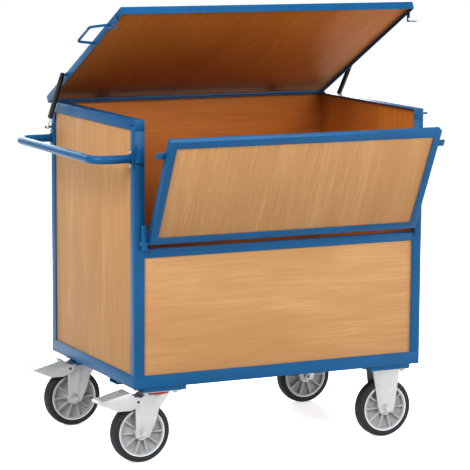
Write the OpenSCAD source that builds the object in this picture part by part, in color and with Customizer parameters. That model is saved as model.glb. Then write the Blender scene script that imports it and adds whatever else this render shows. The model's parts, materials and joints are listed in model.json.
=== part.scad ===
// Box cart: steel-framed wooden box on four castors, with a hinged lid and a fold-down front flap.
// X runs along the cart with the push handle at -X, Y from the front to the back, Z up from the ground.
// The shapes are laid out from the front left corner of the deck; place() then moves them so that
// the origin lies on the ground under the middle of the whole object.

/* [Box] */
// Length of the deck and the box
cart_len = 1050; // [880:10:1260]
// Depth of the deck and the box, front to back
cart_wid = 715; // [600:5:860]
// Height from the underside of the deck to the top of the box
box_high = 866; // [722:2:1040]
// Height of the deck rails
deck_high = 42; // [35:1:51]
// Leg of the steel angle that the posts and top rails are made of
post_leg = 35; // [30:1:42]
// Wall of the steel angles
steel_t = 4; // [3:0.5:5]
// Thickness of the wall boards
wall_t = 12; // [10:1:15]
// Thickness of the floor board
floor_t = 18; // [15:1:22]
// Height of the middle rail's top above the underside of the deck
mid_top = 452; // [400:2:480]
// Height of the middle rail
mid_high = 28; // [23:1:34]

/* [Castors] */
// Radius of the wheels
wheel_r = 100; // [84:1:110]
// Width of the tyres
wheel_wid = 45; // [37:1:50]
// Radial thickness of the tyres
tyre_t = 20; // [16:1:24]
// Height of a castor's plate above the top of its wheel
castor_rise = 40; // [37:1:60]
// Castor centre to the end of the deck
castor_x = 103; // [100:1:124]
// Castor centre to the front or back of the deck
castor_y = 65; // [62:1:78]
// Distance that a swivel castor's wheel trails behind its kingpin
trail = 57; // [48:1:60]
// Length of the castor plates, along the cart
plate_len = 135; // [130:1:145]
// Width of the castor plates
plate_wid = 110; // [106:1:116]
// Distance between the plates' bolt holes, along the cart
bolt_dx = 105; // [100:1:108]
// Distance between the plates' bolt holes, front to back
bolt_dy = 80; // [76:1:84]
// Radius of the castor bolts
bolt_r = 5; // [4:0.5:6]
// Radius of the wheel bolts
axle_r = 6; // [5:0.5:7]

/* [Lid] */
// Angle that the lid stands open at
lid_open = 27.5; // [22:0.5:33]
// Height of the lid's steel rim
lid_rim = 25.5; // [24:0.5:31]
// Drop of the lid's rim below the top of the box
lid_hang = 10; // [8:0.5:12]
// Steel thickness of the lid and flap frames
sheet_t = 3; // [2.5:0.5:3.5]
// Gap between the lid's rim and the box at each end
lid_end_gap = 3.5; // [2.5:0.5:5]
// Distance of each lid hinge from the end of the box
hinge_x = 190; // [150:5:230]
// Distance of the hinge axis behind the box
hinge_back = 16; // [14:0.5:20]
// Distance of the hinge axis below the top of the box
hinge_down = 24; // [22:0.5:29]
// Radius of the hinge pins
hinge_r = 4; // [3:0.5:5]

/* [Flap] */
// Angle that the flap leans out at
flap_lean = 25.5; // [20:0.5:30]
// Distance of the closed flap's top edge below the top of the box
flap_drop = 20.5; // [16:0.5:25]
// Depth of the flap's frame
flap_deep = 25; // [20:1:28]
// Radius of the flap's pivot pins
pin_r = 4.7; // [4:0.1:5.5]
// Height of the guides that the pivot pins slide in
guide_high = 80; // [66:1:96]

/* [Handles] */
// Radius of the push handle's tube
grip_r = 13.5; // [11:0.5:16]
// Distance of the push handle's grip from the box
grip_out = 131; // [110:1:157]
// Distance of the push handle below the top of the box
grip_down = 124; // [124:1:149]
// Radius of the push handle's bends
grip_bend = 50; // [40:1:60]
// Radius of the lid handle's rod
rod_handle_r = 4.5; // [3.5:0.5:5.5]

/* [Struts] */
// Radius of the gas strut's tube
tube_r = 8.5; // [8:0.5:10]
// Radius of the gas strut's rod
rod_r = 4; // [3.5:0.5:4.5]
// Distance of the struts' plane from the box
strut_out = 22; // [20:1:26]
// Distance of the upper strut stud from the lid's rear edge
stud_run = 205; // [190:1:215]

/* [Hidden] */
$fn = 64;
fit = 0.05;
touch_gap = 0.5;
through = 1;

castor_high = 2 * wheel_r + castor_rise;
deck_z = castor_high + 14;
pad_high = deck_z - castor_high;
deck_top = deck_z + deck_high;
top_z = deck_z + box_high;
wall_foot = deck_z + steel_t;
board_z = wall_foot + floor_t;
wall_in = steel_t + wall_t;
mid_z = deck_z + mid_top;

plate_t = 4;
pad_len = 150;
pad_deep = 130;
pad_inset = 34;
nut_high = 8;
bolt_end = 1.5;
head_high = 6;
hex_r = 9;
hub_r = 26;
sleeve_r = 15;
bush_r = 10;
rim_r = wheel_r - tyre_t;
rim_wid = wheel_wid - 5;
rib_count = 10;
rib_t = 5;
pocket_deep = 13;
fork_t = 4;
fork_gap = 4.5;
fork_half = wheel_wid / 2 + fork_gap + fork_t;
fork_x = wheel_r - trail;
crown_z = castor_high - 14;
king_r = 6;
ring_r = 43;
pedal_t = 3;
pedal_pin_r = 4;
pedal_gap = 1;
pedal_half = fork_half + pedal_gap + pedal_t;
pedal_x = -trail - 19;
pedal_z = crown_z - 21;

lid_front_gap = 2;
lid_back_gap = 5;
lid_x0 = -lid_end_gap - sheet_t;
lid_x1 = cart_len - lid_x0;
lid_y0 = -lid_front_gap - sheet_t;
lid_y1 = cart_wid + lid_back_gap + sheet_t;
lid_z0 = top_z - lid_hang;
lid_z1 = lid_z0 + lid_rim;
lid_lip = 25;
hinge_y = cart_wid + hinge_back;
hinge_z = top_z - hinge_down;
knuckle_r = 8;
knuckle_len = 38;
ear_t = 5;
arm_t = 4;

handle_y0 = 104;
handle_y1 = 246;
handle_out = 70;
handle_taper = 15;
handle_bend = 14;

hook_y = 38;
hook_z = top_z + 0.5;
hook_arm_r = 7.5;
hook_t = 4;
hook_gap = 1;
hook_tab = 27;
latch_y = post_leg / 2;
latch_z = top_z - post_leg / 2;
latch_r = 3.2;
latch_len = 24;
latch_slack = 0.6;
latch_dist = norm([hook_y - latch_y, hook_z - latch_z]);

stud_r = 4;
stud_y = lid_y1 - stud_run;
stud_z = lid_z1 - 8;
foot_y = cart_wid - post_leg / 2;
foot_z = top_z - 86;
eye_r = 7.5;
eye_wid = 10;
neck_r = 4.6;
rod_show = 45;
piston_r = 4.8;
bore_r = 7.2;
gland_r = rod_r + 2.2;
gland_t = 8;

guide_x = 16;
guide_wid = 20;
guide_t = 4;
slot_wid = 2 * pin_r + 0.6;
guide_out = slot_wid + 2 * guide_t;
guide_z = mid_z - 1;
pin_y = -guide_t - slot_wid / 2;
seat_z = guide_z + guide_t + pin_r + 0.3;
flap_lift = 12;
pin_z = seat_z + flap_lift;
flap_gap = 3;
flap_foot = pin_r + 0.8;
pin_head_r = pin_r + 0.4;
flap_x0 = guide_x + guide_wid + 4;
flap_len = cart_len - 2 * flap_x0;
flap_back = -flap_gap;
flap_z0 = pin_z + flap_foot;
flap_high = top_z - flap_drop - seat_z - flap_foot;
flap_lip = 25;
lug_down = 48;
lug_high = 21;
lug_z = flap_z0 + flap_high - lug_down - lug_high;
lug_t = 6;
lug_out = 32;
catch_x = 2;
catch_wid = 24;
catch_high = 56;
catch_floor = 33;
catch_z = lug_z - 1.3 - catch_high;

grip_z = top_z - grip_down;
flange_wid = post_leg;
flange_half = 29;
flange_t = 5;
handle_bolt_r = 4;
handle_bolt_dz = 21.5;

// The whole object's extent at rest, used to put the origin under its middle.
function opened(p) = [
    hinge_y + (p[0] - hinge_y) * cos(lid_open) + (p[1] - hinge_z) * sin(lid_open),
    hinge_z - (p[0] - hinge_y) * sin(lid_open) + (p[1] - hinge_z) * cos(lid_open)
];
function leaned(p) = [
    pin_y + (p[0] - pin_y) * cos(flap_lean) - (p[1] - pin_z) * sin(flap_lean),
    pin_z + (p[0] - pin_y) * sin(flap_lean) + (p[1] - pin_z) * cos(flap_lean)
];
hook_x = lid_x1 + hook_gap;
x_low = -grip_out - grip_r;
x_high = hook_x + hook_t + hook_tab;
y_low = leaned([flap_back - flap_deep, flap_z0 + flap_high])[0];
y_high = max(opened([lid_y1, lid_z1])[0], opened([lid_y1 + arm_t, lid_z1 - 4])[0]);
centre = [(x_low + x_high) / 2, (y_low + y_high) / 2];

// Both ends of the strut at rest, and its direction from the lid's stud down to the frame's stud.
stud_at = opened([stud_y, stud_z]);
foot_at = [foot_y, foot_z];
strut_len = norm(stud_at - foot_at);
strut_tilt = atan2(foot_at[0] - stud_at[0], stud_at[1] - foot_at[1]);

steel_blue = [0.11, 0.36, 0.62];
board_beech = [0.82, 0.63, 0.45];
zinc = [0.75, 0.76, 0.77];
rim_grey = [0.62, 0.64, 0.65];
tyre_grey = [0.17, 0.18, 0.19];
strut_black = [0.06, 0.06, 0.07];
seal_red = [0.70, 0.13, 0.12];

// ---- placing ----

module place() {
    translate([-centre[0], -centre[1], 0]) children();
}

// The child and its mirror image at the other end of the cart.
module both_ends() {
    children();
    translate([cart_len, 0, 0]) mirror([1, 0, 0]) children();
}

// The child and its mirror image at the back of the cart.
module both_sides() {
    children();
    translate([0, cart_wid, 0]) mirror([0, 1, 0]) children();
}

module as_opened() {
    translate([0, hinge_y, hinge_z]) rotate([-lid_open, 0, 0]) translate([0, -hinge_y, -hinge_z]) children();
}

module as_leaned() {
    translate([0, pin_y, pin_z]) rotate([flap_lean, 0, 0]) translate([0, -pin_y, -pin_z]) children();
}

// ---- shapes that repeat ----

// A round bar along +X.
module bar_x(r, len) {
    rotate([0, 90, 0]) cylinder(r = r, h = len);
}

// A round bar along +Y.
module bar_y(r, len) {
    rotate([-90, 0, 0]) cylinder(r = r, h = len);
}

// A flat outline in the Y-Z plane, pushed along +X.
module push_x(len) {
    rotate([90, 0, 90]) linear_extrude(len) children();
}

// A flat outline in the X-Z plane, pushed along +Y.
module push_y(len) {
    translate([0, len, 0]) rotate([90, 0, 0]) linear_extrude(len) children();
}

// An angle section: one leg up, one leg along the outline's first axis.
module angle_outline(wide, high, wall) {
    polygon([[0, 0], [wide, 0], [wide, wall], [wall, wall], [wall, high], [0, high]]);
}

// The same section with the flat leg on top.
module cap_outline(wide, high, wall) {
    polygon([[0, 0], [wall, 0], [wall, high - wall], [wide, high - wall], [wide, high], [0, high]]);
}

module hexagon(r, high) {
    cylinder(r = r, h = high, $fn = 6);
}

// A round rod bent in the X-Y plane through the given corners, with equal bend radii.
// With a nip, the straight stretches are that much thinner and reach that far into the bends.
module bent_rod(corners, r, bend, nip = 0) {
    last = len(corners) - 1;
    function heading(i) = atan2(corners[i + 1][1] - corners[i][1], corners[i + 1][0] - corners[i][0]);
    function wrapped(a) = a > 180 ? a - 360 : (a < -180 ? a + 360 : a);
    function turn(i) = wrapped(heading(i) - heading(i - 1));
    function cut(i) = (i == 0 || i == last) ? 0 : bend * tan(abs(turn(i)) / 2);
    for (i = [0 : last - 1])
        translate([corners[i][0], corners[i][1], 0]) rotate([0, 0, heading(i)])
            translate([cut(i) - (i == 0 ? 0 : nip), 0, 0])
                bar_x(r - nip, norm(corners[i + 1] - corners[i]) - cut(i) - cut(i + 1)
                    + nip * ((i == 0 ? 0 : 1) + (i == last - 1 ? 0 : 1)));
    for (i = [1 : last - 1])
        translate([corners[i][0], corners[i][1], 0]) rotate([0, 0, heading(i - 1)])
            translate([-cut(i), sign(turn(i)) * bend, 0])
                rotate([0, 0, turn(i) > 0 ? -90 : 90 + turn(i)])
                    rotate_extrude(angle = abs(turn(i))) translate([bend, 0]) circle(r);
}

// ---- deck and box ----

module deck_long_rails() {
    color(steel_blue)
        both_sides() translate([0, 0, deck_z])
            push_x(cart_len) angle_outline(post_leg, deck_high, steel_t);
}

module deck_end_rails() {
    color(steel_blue) both_ends() {
        translate([0, steel_t, deck_z + steel_t])
            cube([steel_t, cart_wid - 2 * steel_t, deck_high - steel_t]);
        translate([0, post_leg, deck_z]) cube([post_leg, cart_wid - 2 * post_leg, steel_t]);
    }
}

// Two hat-shaped bars along the cart carry the floor between the end rails.
module deck_support_bars() {
    bar_wid = 60;
    brim = 20;
    wall = 3;
    from_side = pad_deep + 25;
    color(steel_blue) both_sides()
        translate([steel_t, from_side, castor_high]) push_x(cart_len - 2 * steel_t) {
            square([bar_wid, wall]);
            for (y = [0, bar_wid - wall]) translate([y, 0]) square([wall, pad_high]);
            for (y = [-brim, bar_wid]) translate([y, pad_high - wall]) square([brim, wall]);
        }
}

module floor_board() {
    color(board_beech) translate([wall_in, wall_in, wall_foot])
        cube([cart_len - 2 * wall_in, cart_wid - 2 * wall_in, floor_t]);
}

// Centres of the four bolt holes around a castor's centre.
bolt_spots = [for (x = [-1, 1], y = [-1, 1]) [x * bolt_dx / 2, y * bolt_dy / 2]];

module bolt_holes(high, slack) {
    for (p = bolt_spots)
        translate([p[0], p[1], -through]) cylinder(r = bolt_r + slack, h = high + 2 * through);
}

module castor_pads() {
    color(steel_blue) both_ends() both_sides() difference() {
        translate([pad_inset, steel_t, castor_high]) cube([pad_len, pad_deep, pad_high]);
        translate([pad_inset + steel_t, 2 * steel_t, castor_high + steel_t])
            cube([pad_len - 2 * steel_t, pad_deep - 2 * steel_t, pad_high]);
        translate([castor_x, castor_y, castor_high]) bolt_holes(steel_t, 0.5);
    }
}

module corner_post() {
    translate([0, 0, deck_top]) linear_extrude(box_high - deck_high - post_leg)
        angle_outline(post_leg, post_leg, steel_t);
}

module front_posts() {
    color(steel_blue) both_ends() corner_post();
}

module rear_posts() {
    color(steel_blue) both_ends() translate([0, cart_wid, 0]) mirror([0, 1, 0]) corner_post();
}

module side_top_rails() {
    color(steel_blue) both_ends() translate([0, 0, top_z - post_leg]) {
        push_y(cart_wid) cap_outline(post_leg, post_leg, steel_t);
        for (y = [0, cart_wid - steel_t]) translate([0, y, 0]) cube([post_leg, steel_t, post_leg]);
    }
}

module rear_top_rail() {
    color(steel_blue) translate([post_leg, cart_wid, top_z - post_leg]) mirror([0, 1, 0])
        push_x(cart_len - 2 * post_leg) cap_outline(post_leg, post_leg, steel_t);
}

module mid_rail() {
    color(steel_blue) translate([post_leg, 0, mid_z - mid_high])
        push_x(cart_len - 2 * post_leg) cap_outline(wall_in + 6, mid_high, steel_t);
}

module end_panel() {
    color(board_beech) translate([steel_t, steel_t, wall_foot])
        cube([wall_t, cart_wid - 2 * steel_t, top_z - steel_t - wall_foot]);
}

module left_panel() {
    end_panel();
}

module right_panel() {
    translate([cart_len, 0, 0]) mirror([1, 0, 0]) end_panel();
}

module rear_panel() {
    color(board_beech) translate([wall_in, cart_wid - wall_in, wall_foot])
        cube([cart_len - 2 * wall_in, wall_t, top_z - steel_t - wall_foot]);
}

module lower_front_panel() {
    color(board_beech) translate([wall_in, steel_t, wall_foot])
        cube([cart_len - 2 * wall_in, wall_t, mid_z - steel_t - wall_foot]);
}

// ---- what guides, catches and carries the flap and the lid ----

module flap_guides() {
    color(steel_blue) both_ends() translate([guide_x, -guide_out, guide_z]) difference() {
        cube([guide_wid, guide_out, guide_high]);
        translate([-through, guide_t, guide_t])
            cube([guide_wid + 2 * through, slot_wid, guide_high - 2 * guide_t]);
    }
}

module flap_catches() {
    color(steel_blue) both_ends() translate([catch_x, -guide_out, catch_z]) difference() {
        cube([catch_wid, guide_out, catch_high]);
        translate([-through, guide_t, catch_floor])
            cube([catch_wid + 2 * through, slot_wid, catch_high]);
    }
}

module latch_pins() {
    color(steel_blue) both_ends() translate([-latch_len, latch_y, latch_z]) bar_x(latch_r, latch_len);
}

module push_handle() {
    y0 = post_leg / 2;
    y1 = cart_wid - post_leg / 2;
    wall = 2.5;
    corners = [[-flange_t, y0], [-grip_out, y0], [-grip_out, y1], [-flange_t, y1]];
    color(steel_blue) translate([0, 0, grip_z]) difference() {
        bent_rod(corners, grip_r, grip_bend);
        bent_rod(corners, grip_r - wall, grip_bend);
    }
}

module handle_flanges() {
    color(steel_blue) both_sides() translate([-flange_t, 0, grip_z - flange_half]) difference() {
        cube([flange_t, flange_wid, 2 * flange_half]);
        for (z = [-1, 1])
            translate([-through, flange_wid / 2, flange_half + z * handle_bolt_dz])
                bar_x(handle_bolt_r + 0.2, flange_t + 2 * through);
    }
}

// Hexagon-headed bolts through the handle's flanges, ending against the posts.
module handle_bolts() {
    color(zinc) both_sides() for (z = [-1, 1])
        translate([0, flange_wid / 2, grip_z + z * handle_bolt_dz]) {
            translate([-flange_t - 5, 0, 0]) rotate([0, 90, 0]) hexagon(7.2, 5);
            translate([-flange_t, 0, 0]) bar_x(handle_bolt_r, flange_t);
        }
}

module strut_lower_studs() {
    base = 9.5;
    base_t = 3;
    color(steel_blue) both_ends() translate([0, foot_y, foot_z]) {
        translate([-base_t, -base, -base + 1]) cube([base_t, 2 * base, 2 * base]);
        translate([-strut_out - eye_wid / 2 - 3, 0, 0]) bar_x(stud_r, strut_out + eye_wid / 2 + 3 - base_t);
    }
}

// The plane of one hinge ear, seen along X: round at the pin, square against the box.
module ear_outline(bore) {
    difference() {
        union() {
            translate([hinge_y, hinge_z]) circle(knuckle_r);
            translate([cart_wid, hinge_z - knuckle_r]) square([hinge_back, 2 * knuckle_r]);
        }
        translate([hinge_y, hinge_z]) circle(bore);
    }
}

module hinge_brackets() {
    color(steel_blue) both_ends() for (side = [-1, 1])
        translate([hinge_x + side * (knuckle_len / 2 + 0.5 + ear_t / 2) - ear_t / 2, 0, 0])
            push_x(ear_t) ear_outline(hinge_r + fit);
}

module hinge_pins() {
    pin_len = knuckle_len + 2 * ear_t + 7;
    color(zinc) both_ends() translate([hinge_x - pin_len / 2, hinge_y, hinge_z]) {
        bar_x(hinge_r, pin_len);
        translate([-3, 0, 0]) bar_x(hinge_r + 2, 3);
    }
}

// ---- castors ----

module at_castor(x, y) {
    translate([x, y, 0]) children();
}

module at_each_castor() {
    both_ends() both_sides() at_castor(castor_x, castor_y) children();
}

module castor_bolts() {
    shank = steel_t + plate_t + nut_high + bolt_end;
    color(zinc) at_each_castor() for (p = bolt_spots) translate([p[0], p[1], castor_high + steel_t]) {
        hexagon(hex_r, head_high);
        translate([0, 0, -shank]) cylinder(r = bolt_r, h = shank);
    }
}

module castor_nuts() {
    color(zinc) at_each_castor() for (p = bolt_spots)
        translate([p[0], p[1], castor_high - plate_t - nut_high]) difference() {
            hexagon(hex_r, nut_high);
            translate([0, 0, -through]) cylinder(r = bolt_r + fit, h = nut_high + 2 * through);
        }
}

module castor_plate() {
    translate([-plate_len / 2, -plate_wid / 2, castor_high - plate_t]) cube([plate_len, plate_wid, plate_t]);
}

// Swivel castors: plate with a bearing cup, a seal ring, a kingpin.
module swivel_top_plates() {
    color(zinc) both_sides() at_castor(castor_x, castor_y) difference() {
        union() {
            castor_plate();
            translate([0, 0, castor_high - plate_t - 3]) cylinder(r = ring_r - 8.5, h = 3);
        }
        translate([0, 0, castor_high - plate_t]) bolt_holes(plate_t, 0.5);
        translate([0, 0, castor_high - plate_t - 3 - through])
            cylinder(r = king_r, h = plate_t + 3 + 2 * through);
    }
}

module swivel_rings() {
    color(seal_red) both_sides() at_castor(castor_x, castor_y)
        translate([0, 0, crown_z + 0.5]) difference() {
            cylinder(r = ring_r, h = castor_high - plate_t - crown_z - 0.5);
            translate([0, 0, -through]) cylinder(r = ring_r - 8, h = 20);
        }
}

module kingpins() {
    color(zinc) both_sides() at_castor(castor_x, castor_y) {
        translate([0, 0, crown_z - fork_t - 9]) hexagon(11, 8);
        translate([0, 0, crown_z - fork_t - 2]) cylinder(r = king_r, h = castor_high - crown_z + fork_t + 2);
    }
}

// Side view of a swivel fork's leg, from the kingpin's axis.
swivel_leg = [
    [-trail - 25, wheel_r - 14], [-trail + 21, wheel_r - 14], [fork_x - 59, wheel_r + 24],
    [fork_x - 41, crown_z - 48], [fork_x + 2, crown_z - 4], [fork_x + 2, crown_z], [-52, crown_z],
    [-trail - 28, crown_z - 23]
];

// Plan view of the fork: flat legs that turn in towards the leading edge.
// The taper starts past the axle's bush and past the tyre, whichever reaches further.
function fork_plan(inset) = [
    [-trail - 40, fork_half - inset], [max(-trail + 23, fork_x - 77), fork_half - inset],
    [max(-trail + 54, fork_x - 46), fork_half - 3.5 - inset], [fork_x - 21, fork_half - 11 - inset],
    [fork_x + 2 - inset, 8]
];

module fork_plan_outline(inset) {
    half = fork_plan(inset);
    polygon(concat(half, [for (i = [len(half) - 1 : -1 : 0]) [half[i][0], -half[i][1]]]));
}

module swivel_fork() {
    color(zinc) difference() {
        intersection() {
            linear_extrude(crown_z) fork_plan_outline(0);
            translate([0, -fork_half - through, 0]) push_y(2 * (fork_half + through)) polygon(swivel_leg);
        }
        intersection() {
            linear_extrude(crown_z - fork_t) fork_plan_outline(fork_t);
            translate([-trail - 50, -fork_half, 0]) cube([fork_x + trail + 60, 2 * fork_half, crown_z]);
        }
        translate([-trail, -fork_half - through, wheel_r]) bar_y(axle_r + 0.2, 2 * (fork_half + through));
        translate([0, 0, crown_z - fork_t - through]) cylinder(r = king_r + fit, h = fork_t + 2 * through);
        translate([pedal_x, -fork_half - through, pedal_z])
            bar_y(pedal_pin_r + fit, 2 * (fork_half + through));
    }
}

module front_swivel_fork() {
    at_castor(castor_x, castor_y) swivel_fork();
}

module rear_swivel_fork() {
    at_castor(castor_x, cart_wid - castor_y) swivel_fork();
}

// Wheel bolt with its nut, the spacer bush between the fork's legs and the roller sleeve in the hub.
module axle_set() {
    span = 2 * (fork_half - fork_t) - 0.4;
    washer = 2;
    translate([0, -fork_half - washer - 8, wheel_r]) rotate([-90, 0, 0]) hexagon(9.5, 8);
    translate([0, -fork_half - washer, wheel_r]) bar_y(12, washer);
    translate([0, -fork_half - washer, wheel_r]) bar_y(axle_r, 2 * fork_half + washer + 2);
    translate([0, fork_half, wheel_r]) difference() {
        rotate([-90, 0, 0]) hexagon(9.5, 9);
        translate([0, -through, 0]) bar_y(axle_r + fit, 9 + 2 * through);
    }
    translate([0, -span / 2, wheel_r]) difference() {
        bar_y(bush_r, span);
        translate([0, -through, 0]) bar_y(axle_r + fit, span + 2 * through);
    }
    translate([0, -rim_wid / 2 + 3, wheel_r]) difference() {
        bar_y(sleeve_r, rim_wid - 6);
        translate([0, -through, 0]) bar_y(bush_r + fit, rim_wid);
    }
}

module front_swivel_axle() {
    color(zinc) at_castor(castor_x - trail, castor_y) axle_set();
}

module rear_swivel_axle() {
    color(zinc) at_castor(castor_x - trail, cart_wid - castor_y) axle_set();
}

module fixed_axles() {
    color(zinc) both_sides() at_castor(cart_len - castor_x, castor_y) axle_set();
}

// Side view of a fixed fork's leg, from the castor's centre.
fixed_leg = [
    [-24, wheel_r - 14], [24, wheel_r - 14], [32, wheel_r + 6], [52, castor_high - plate_t],
    [-52, castor_high - plate_t], [-32, wheel_r + 6]
];

module fixed_fork() {
    wing = 30;
    turn_in = 6;
    difference() {
        union() {
            castor_plate();
            for (side = [-1, 1]) intersection() {
                translate([0, -fork_half, 0]) push_y(2 * fork_half) polygon(fixed_leg);
                linear_extrude(castor_high - plate_t) mirror([0, side < 0 ? 1 : 0]) polygon([
                    [-54, -fork_half + turn_in], [-54 + wing, -fork_half],
                    [54 - wing, -fork_half], [54, -fork_half + turn_in],
                    [54, -fork_half + turn_in + fork_t], [54 - wing, -fork_half + fork_t],
                    [-54 + wing, -fork_half + fork_t], [-54, -fork_half + turn_in + fork_t]
                ]);
            }
        }
        translate([0, 0, castor_high - plate_t]) bolt_holes(plate_t, 0.5);
        translate([0, -fork_half - through, wheel_r]) bar_y(axle_r + 0.2, 2 * (fork_half + through));
    }
}

module fixed_forks() {
    color(zinc) both_sides() at_castor(cart_len - castor_x, castor_y) fixed_fork();
}

// A foot pedal that straps over the fork and presses its shoe on the tyre.
module brake_pedal() {
    side = [
        [-134, 1], [-70, -26], [-24, -26], [14, -12], [16, 13], [-12, 17], [-28, 33], [-134, 7]
    ];
    tread = [
        [-134, 1], [-134, 7], [-28, 33], [-12, 17], [6, 14.4], [6, 11.4], [-13.4, 14], [-29.2, 29.6],
        [-131, 4.6], [-131, 1]
    ];
    function shoe_at(turn, gap) = [
        -trail - pedal_x + (wheel_r + gap) * cos(turn), wheel_r - pedal_z + (wheel_r + gap) * sin(turn)
    ];
    shoe = [shoe_at(124, 8.6), shoe_at(114, 8.6), shoe_at(114, 13), shoe_at(124, 13)];
    color(zinc) translate([pedal_x, 0, pedal_z]) {
        difference() {
            union() {
                translate([0, -pedal_half, 0]) push_y(pedal_t) polygon(side);
                translate([0, pedal_half - pedal_t, 0]) push_y(pedal_t) polygon(side);
                translate([0, -pedal_half, 0]) push_y(2 * pedal_half) polygon(tread);
                translate([0, -pedal_half, 0]) push_y(2 * pedal_half) polygon(shoe);
            }
            for (y = [-18, 0, 18]) translate([-116, y - 4, 0]) cube([64, 8, 40]);
        }
        translate([0, -pedal_half, 0]) bar_y(pedal_pin_r, 2 * pedal_half);
    }
}

module front_brake_pedal() {
    at_castor(castor_x, castor_y) brake_pedal();
}

module rear_brake_pedal() {
    at_castor(castor_x, cart_wid - castor_y) brake_pedal();
}

// Wheel centre with ten ribs a side between the hub and the rim.
module rim_pockets() {
    linear_extrude(pocket_deep + through) difference() {
        circle(rim_r - 9);
        circle(hub_r);
        for (i = [0 : rib_count - 1])
            rotate(i * 360 / rib_count) translate([0, -rib_t / 2]) square([rim_r, rib_t]);
    }
}

module wheel_rim() {
    color(rim_grey) translate([0, 0, wheel_r]) rotate([90, 0, 0]) difference() {
        translate([0, 0, -rim_wid / 2]) cylinder(r = rim_r, h = rim_wid, $fn = 96);
        for (side = [0, 1]) mirror([0, 0, side]) translate([0, 0, rim_wid / 2 - pocket_deep]) rim_pockets();
        translate([0, 0, -rim_wid]) cylinder(r = sleeve_r + fit, h = 2 * rim_wid);
    }
}

module wheel_tyre() {
    shoulder = 9;
    color(tyre_grey) translate([0, 0, wheel_r]) rotate([90, 0, 0]) rotate_extrude($fn = 128) {
        translate([rim_r, -wheel_wid / 2]) square([tyre_t - shoulder, wheel_wid]);
        translate([rim_r, -wheel_wid / 2 + shoulder]) square([tyre_t, wheel_wid - 2 * shoulder]);
        for (side = [-1, 1])
            translate([wheel_r - shoulder, side * (wheel_wid / 2 - shoulder)]) circle(shoulder);
    }
}

module front_left_rim() {
    at_castor(castor_x - trail, castor_y) wheel_rim();
}

module rear_left_rim() {
    at_castor(castor_x - trail, cart_wid - castor_y) wheel_rim();
}

module front_right_rim() {
    at_castor(cart_len - castor_x, castor_y) wheel_rim();
}

module rear_right_rim() {
    at_castor(cart_len - castor_x, cart_wid - castor_y) wheel_rim();
}

module front_left_tyre() {
    at_castor(castor_x - trail, castor_y) wheel_tyre();
}

module rear_left_tyre() {
    at_castor(castor_x - trail, cart_wid - castor_y) wheel_tyre();
}

module front_right_tyre() {
    at_castor(cart_len - castor_x, castor_y) wheel_tyre();
}

module rear_right_tyre() {
    at_castor(cart_len - castor_x, cart_wid - castor_y) wheel_tyre();
}

// ---- lid, drawn closed and then opened ----

module lid_frame() {
    size = [lid_x1 - lid_x0, lid_y1 - lid_y0];
    color(steel_blue) as_opened() translate([lid_x0, lid_y0, lid_z0]) difference() {
        cube([size[0], size[1], lid_rim]);
        translate([sheet_t, sheet_t, -through])
            cube([size[0] - 2 * sheet_t, size[1] - 2 * sheet_t, lid_rim - sheet_t + through]);
        translate([lid_lip, lid_lip, 0])
            cube([size[0] - 2 * lid_lip, size[1] - 2 * lid_lip, lid_rim + through]);
    }
}

module lid_board() {
    board_bottom = top_z + touch_gap;
    color(board_beech) as_opened() translate([lid_x0 + sheet_t, lid_y0 + sheet_t, board_bottom])
        cube([lid_x1 - lid_x0 - 2 * sheet_t, lid_y1 - lid_y0 - 2 * sheet_t, lid_z1 - sheet_t - board_bottom]);
}

module lid_handle() {
    root_len = 8;
    corners = [
        [lid_x0, handle_y1], [lid_x0 - root_len, handle_y1], [-handle_out, handle_y1 - handle_taper],
        [-handle_out, handle_y0 + handle_taper], [lid_x0 - root_len, handle_y0], [lid_x0, handle_y0]
    ];
    color(steel_blue) as_opened() translate([0, 0, lid_z0 + lid_rim / 2])
        bent_rod(corners, rod_handle_r, handle_bend, 0.1);
}

module lid_hinge_arms() {
    color(steel_blue) as_opened() both_ends() translate([hinge_x - knuckle_len / 2, 0, 0])
        push_x(knuckle_len) difference() {
            union() {
                translate([hinge_y, hinge_z]) circle(knuckle_r);
                translate([lid_y1, hinge_z]) square([arm_t, lid_z1 - 4 - hinge_z]);
            }
            translate([hinge_y, hinge_z]) circle(hinge_r + fit);
        }
}

module lid_studs() {
    collar = 4;
    color(steel_blue) as_opened() both_ends() {
        translate([lid_x0 - collar, stud_y, stud_z]) bar_x(7, collar);
        translate([-strut_out - eye_wid / 2 - 3, stud_y, stud_z])
            bar_x(stud_r, strut_out + eye_wid / 2 + 3 + lid_x0 - collar);
        translate([lid_x0 - hook_gap - hook_t - 2.5, hook_y, hook_z]) bar_x(3, hook_gap + hook_t + 2.5);
        translate([lid_x0 - hook_gap - hook_t - 2.5, hook_y, hook_z]) bar_x(5, 2);
    }
}

// Hook that hangs from the lid's rim. Turned forward, its notch closes round the latch pin.
module hook() {
    hang = 90 - lid_open;
    reach = latch_dist + hook_arm_r + 1;
    place_x = lid_x0 - hook_gap - hook_t;
    color(steel_blue) as_opened() translate([place_x, hook_y, hook_z]) rotate([-hang, 0, 0]) {
        push_x(hook_t) difference() {
            union() {
                circle(hook_arm_r);
                translate([0, -hook_arm_r]) square([reach, 2 * hook_arm_r]);
            }
            circle(3 + fit);
            intersection() {
                difference() {
                    circle(latch_dist + latch_r + latch_slack);
                    circle(latch_dist - latch_r - latch_slack);
                }
                translate([0, -2 * hook_arm_r]) square([2 * reach, 2 * hook_arm_r + latch_r + latch_slack]);
            }
        }
        translate([-hook_tab, reach - 3, -hook_arm_r]) cube([hook_tab, 3, 2 * hook_arm_r]);
    }
}

module left_hook() {
    hook();
}

module right_hook() {
    translate([cart_len, 0, 0]) mirror([1, 0, 0]) hook();
}

// ---- gas struts ----

// Turns a shape drawn along -Z so that it runs from the lid's stud to the frame's stud.
module along_strut() {
    translate([-strut_out, stud_at[0], stud_at[1]]) rotate([strut_tilt, 0, 0]) children();
}

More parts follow.
